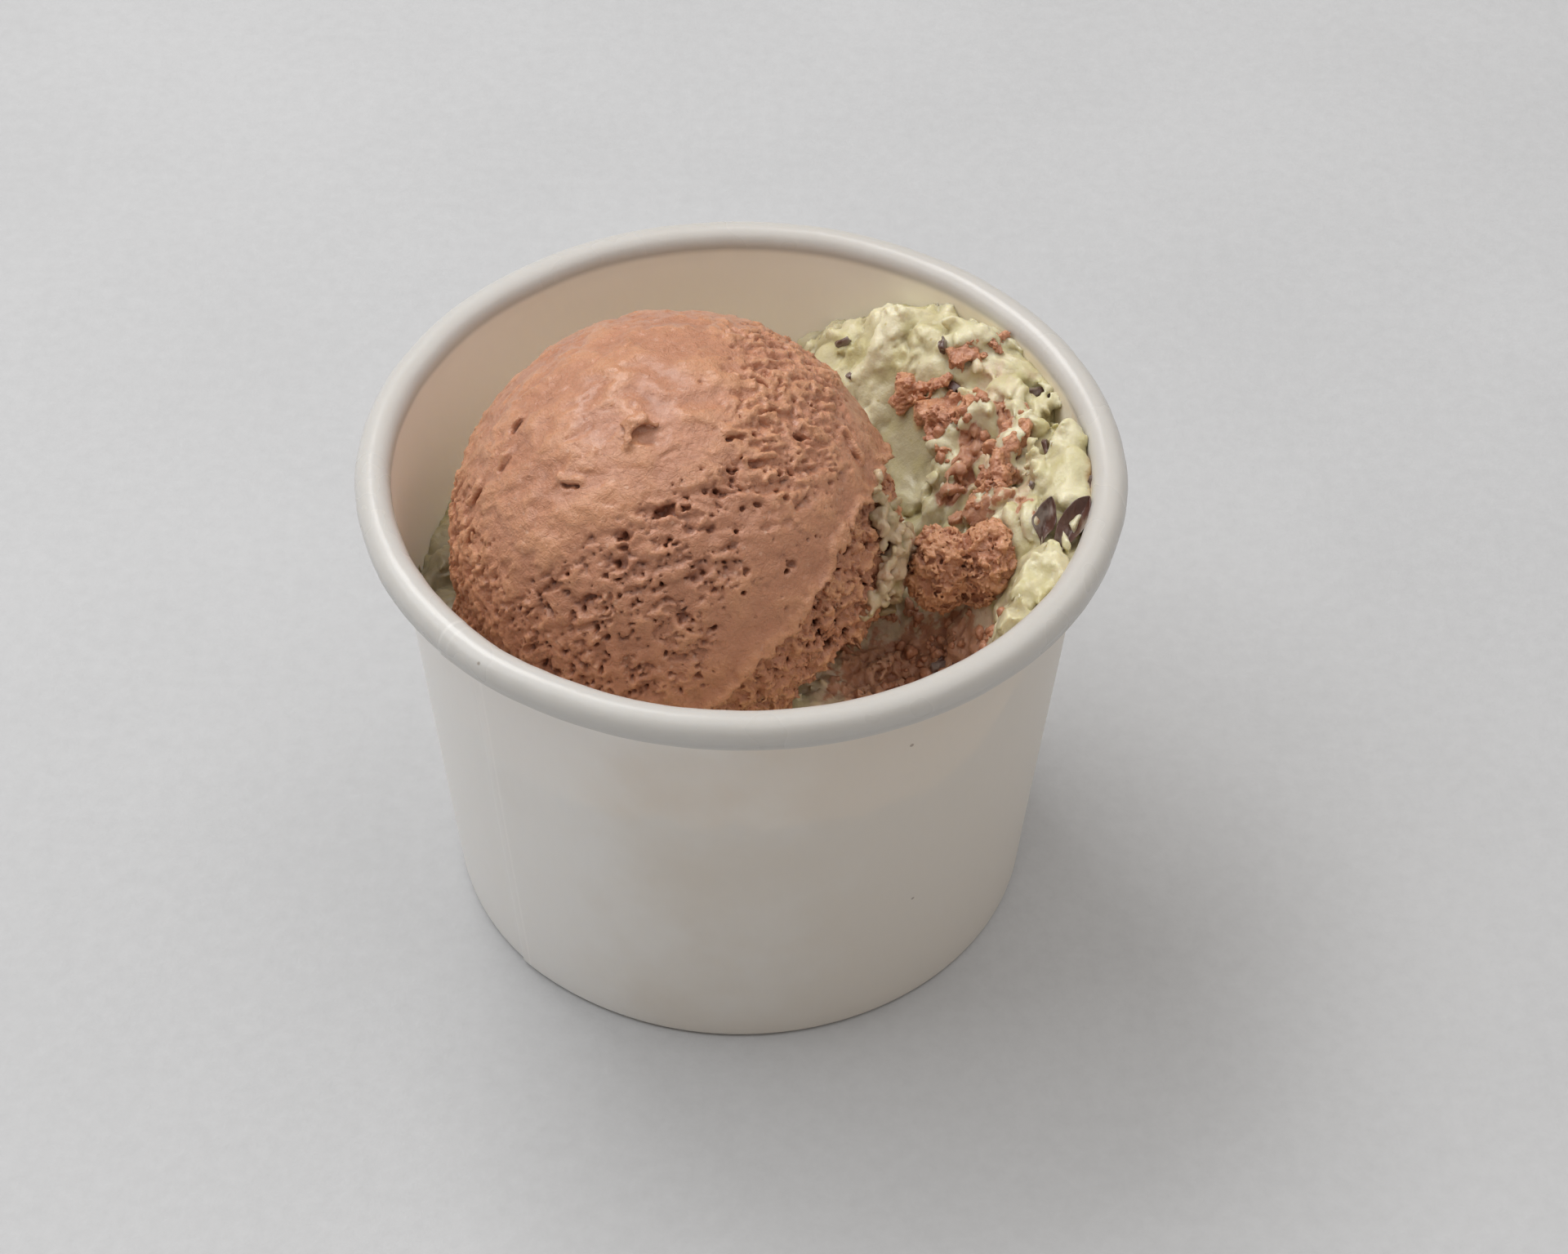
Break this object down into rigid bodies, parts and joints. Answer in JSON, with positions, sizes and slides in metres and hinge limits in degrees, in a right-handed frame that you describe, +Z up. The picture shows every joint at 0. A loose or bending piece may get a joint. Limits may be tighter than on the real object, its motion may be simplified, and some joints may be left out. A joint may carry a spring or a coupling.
{
  "type": "gelato cup",
  "caption": "White paper cup with a rolled rim, filled with pistachio gelato that leans up one side and a round scoop of chocolate gelato, with nut skins and chocolate patches.",
  "frame": {"origin": "centre of the cup's foot, on the surface it stands on", "axes": "+Z up along the cup's axis; +X towards the side where the pistachio gelato leans up the wall; +Y away from the side shown first"},
  "size_m": [0.084, 0.0838, 0.0747],
  "materials": {
    "paper_white": "satin, coated",
    "gelato_pistachio": "creamy, lumpy, slightly wet",
    "gelato_chocolate": "dense, porous, slightly wet",
    "nut_skin": "glossy brown skin"
  },
  "bodies": {
    "root": {"cup_wall": "paper_white", "cup_base": "paper_white", "pistachio_gelato": "gelato_pistachio", "chocolate_scoop": "gelato_chocolate", "chocolate_lump": "gelato_chocolate", "chocolate_patch_1": "gelato_chocolate", "chocolate_patch_2": "gelato_chocolate", "chocolate_patch_3": "gelato_chocolate", "chocolate_patch_4": "gelato_chocolate", "nut_skin_1": "nut_skin", "nut_skin_2": "nut_skin", "nut_skin_3": "nut_skin"}
  },
  "joints": []
}
